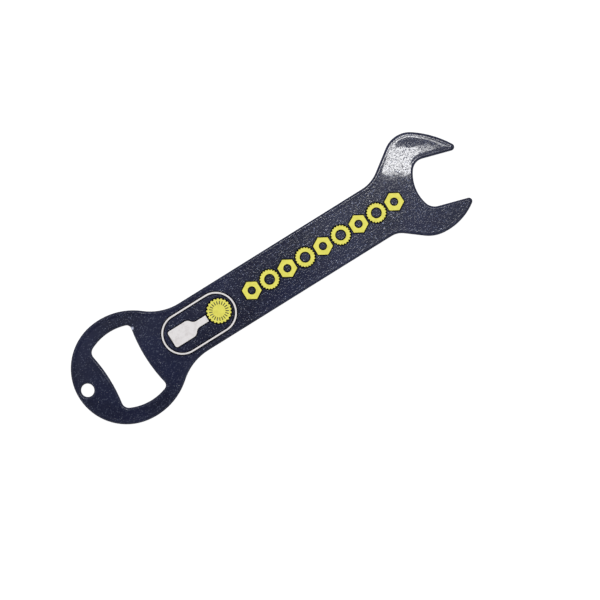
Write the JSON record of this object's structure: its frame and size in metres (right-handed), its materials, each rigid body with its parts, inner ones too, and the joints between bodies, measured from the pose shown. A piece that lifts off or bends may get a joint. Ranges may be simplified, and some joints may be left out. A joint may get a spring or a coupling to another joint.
{
  "type": "bottle opener",
  "caption": "Flat steel bottle opener shaped like an open-ended spanner, with a cap window in its round head, a hanging hole, a thick dark glossy coat and printed marks on the front.",
  "frame": {"origin": "middle of the bounding box, on the surface that the opener lies on", "axes": "+X along the handle from the round head to the jaw, +Y across it towards the longer prong, +Z out of the printed front"},
  "size_m": [0.1806, 0.0446, 0.0027],
  "materials": {
    "bare_steel": "as stamped, fully covered by the coat",
    "navy_coat": "thick glossy dark navy coat with fine metallic flake and a slight orange peel",
    "white_ink": "opaque off-white ink, semi-gloss",
    "yellow_ink": "opaque bright yellow ink, semi-gloss"
  },
  "bodies": {
    "root": {"steel_blank": "bare_steel", "powder_coat": "navy_coat", "oval_ring_print": "white_ink", "bottle_print": "white_ink", "badge_cap_print": "yellow_ink", "nut_row_print": "yellow_ink", "cap_row_print": "yellow_ink"}
  },
  "joints": []
}
